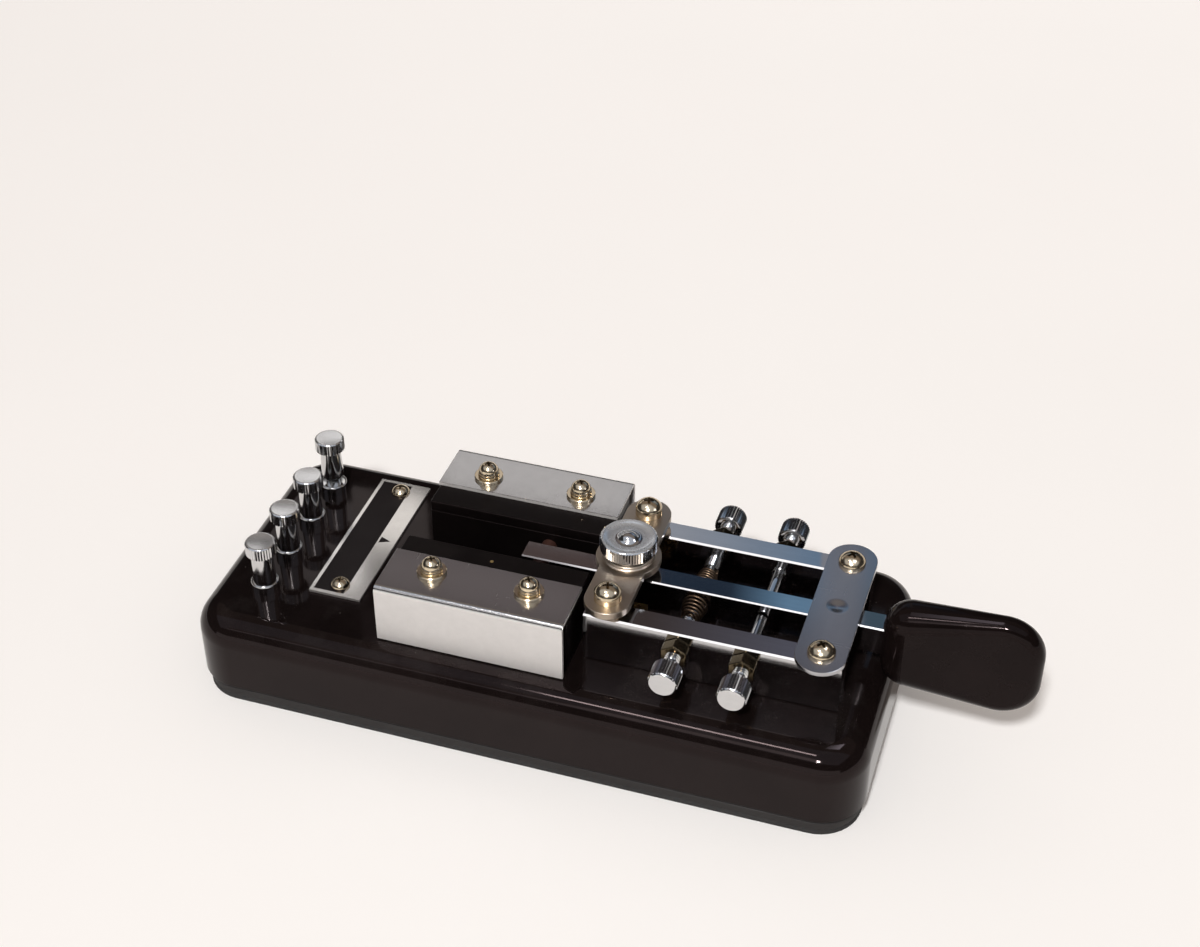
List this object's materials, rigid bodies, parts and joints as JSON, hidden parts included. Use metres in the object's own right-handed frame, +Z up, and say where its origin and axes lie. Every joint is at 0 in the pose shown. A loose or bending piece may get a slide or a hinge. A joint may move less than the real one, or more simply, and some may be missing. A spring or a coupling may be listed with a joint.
{
  "type": "telegraph paddle key",
  "caption": "Telegraph paddle key: a sprung plated lever with a finger paddle, pivoted between rails on a moulded base, works snap-action switches; knurled adjusters and terminal posts.",
  "frame": {"origin": "middle of the rubber mat's underside, on the table", "axes": "+X along the lever towards the paddle, +Y towards the far switch, +Z up"},
  "size_m": [0.2102, 0.0766, 0.05],
  "materials": {
    "base_black": "glossy moulded phenolic",
    "ballast_steel": "dark painted steel",
    "mat_rubber": "matte",
    "label_aluminium": "satin with a black panel",
    "screw_nickel": "warm nickel plate on brass",
    "chrome": "polished chrome",
    "rail_chrome": "chrome over a lengthwise grain",
    "lever_chrome": "chrome over a lengthwise grain",
    "bridge_nickel": "warm satin nickel",
    "strap_steel": "satin, lightly scratched",
    "dark_steel": "dark oiled steel",
    "bearing_brass": "turned brass",
    "spring_bronze": "phosphor bronze wire",
    "paddle_black": "glossy moulded phenolic",
    "switch_black": "moulded phenolic, low sheen",
    "contact_brass": "bright brass",
    "plunger_plastic": "moulded",
    "bracket_steel": "satin zinc plate",
    "wire_insulation": "vinyl"
  },
  "bodies": {
    "base": {"base_moulding": "base_black", "ballast_plate": "ballast_steel", "ballast_screws": "screw_nickel", "rubber_mat": "mat_rubber", "nameplate": "label_aluminium", "nameplate_screws": "screw_nickel", "terminal_posts": "chrome", "post_nuts": "screw_nickel", "near_rail": "rail_chrome", "far_rail": "rail_chrome", "rail_screws": "screw_nickel", "pivot_bridge": "bridge_nickel", "bridge_spacers": "screw_nickel", "bridge_washers": "screw_nickel", "bridge_screws": "screw_nickel", "pivot_washer": "dark_steel", "lower_bearing": "bearing_brass", "guide_strap": "strap_steel", "strap_screws": "screw_nickel", "lock_nuts": "screw_nickel", "near_spring": "spring_bronze", "far_spring": "spring_bronze", "near_switch_case": "switch_black", "far_switch_case": "switch_black", "near_switch_cover": "switch_black", "far_switch_cover": "switch_black", "near_switch_blade": "contact_brass", "far_switch_blade": "contact_brass", "near_switch_terminals": "contact_brass", "far_switch_terminals": "contact_brass", "near_bracket": "bracket_steel", "far_bracket": "bracket_steel", "switch_washers": "screw_nickel", "switch_lock_washers": "screw_nickel", "switch_screws": "screw_nickel", "switch_nuts": "screw_nickel", "hookup_wires": "wire_insulation"},
    "lever": {"lever": "lever_chrome", "pivot_pin": "dark_steel", "paddle": "paddle_black", "paddle_stud": "dark_steel"},
    "pivot_screw": {"pivot_screw": "chrome"},
    "near_plunger": {"near_plunger": "plunger_plastic"},
    "far_plunger": {"far_plunger": "plunger_plastic"},
    "near_tension_screw": {"near_tension_screw": "chrome"},
    "far_tension_screw": {"far_tension_screw": "chrome"},
    "near_stop_screw": {"near_stop_screw": "chrome"},
    "far_stop_screw": {"far_stop_screw": "chrome"},
    "terminal_nut_1": {"terminal_nut_1": "chrome"},
    "terminal_nut_2": {"terminal_nut_2": "chrome"},
    "terminal_nut_3": {"terminal_nut_3": "chrome"},
    "terminal_nut_4": {"terminal_nut_4": "chrome"}
  },
  "joints": [
    {"name": "lever_swing", "type": "hinge", "parent": "base", "child": "lever", "pos_m": [0.0189, 0, 0.0344], "axis": [0, 0, 1], "range_deg": [-1, 1], "stiffness_Nm_per_rad": 0.24, "deforming": ["near_spring", "far_spring"]},
    {"name": "near_plunger_travel", "type": "slide", "parent": "base", "child": "near_plunger", "axis": [0, -1, 0], "range_m": [-0.0006, 0.0006]},
    {"name": "far_plunger_travel", "type": "slide", "parent": "base", "child": "far_plunger", "axis": [0, 1, 0], "range_m": [-0.0006, 0.0006]},
    {"name": "near_tension_travel", "type": "slide", "parent": "base", "child": "near_tension_screw", "axis": [0, -1, 0], "range_m": [-0.001, 0.001], "deforming": ["near_spring"]},
    {"name": "far_tension_travel", "type": "slide", "parent": "base", "child": "far_tension_screw", "axis": [0, 1, 0], "range_m": [-0.001, 0.001], "deforming": ["far_spring"]},
    {"name": "near_stop_travel", "type": "slide", "parent": "base", "child": "near_stop_screw", "axis": [0, -1, 0], "range_m": [0, 0.002]},
    {"name": "far_stop_travel", "type": "slide", "parent": "base", "child": "far_stop_screw", "axis": [0, 1, 0], "range_m": [0, 0.002]},
    {"name": "pivot_screw_turn", "type": "hinge", "parent": "base", "child": "pivot_screw", "pos_m": [0.0189, 0, 0.045], "axis": [0, 0, 1], "continuous": true},
    {"name": "terminal_1_travel", "type": "slide", "parent": "base", "child": "terminal_nut_1", "axis": [0, 0, 1], "range_m": [-0.002, 0.002]},
    {"name": "terminal_2_travel", "type": "slide", "parent": "base", "child": "terminal_nut_2", "axis": [0, 0, 1], "range_m": [0, 0.004]},
    {"name": "terminal_3_travel", "type": "slide", "parent": "base", "child": "terminal_nut_3", "axis": [0, 0, 1], "range_m": [0, 0.004]},
    {"name": "terminal_4_travel", "type": "slide", "parent": "base", "child": "terminal_nut_4", "axis": [0, 0, 1], "range_m": [0, 0.004]}
  ],
  "couplings": [
    {"joint": "near_plunger_travel", "follows": "lever_swing", "m_per_rad": 0.0234},
    {"joint": "far_plunger_travel", "follows": "lever_swing", "m_per_rad": -0.0234}
  ]
}
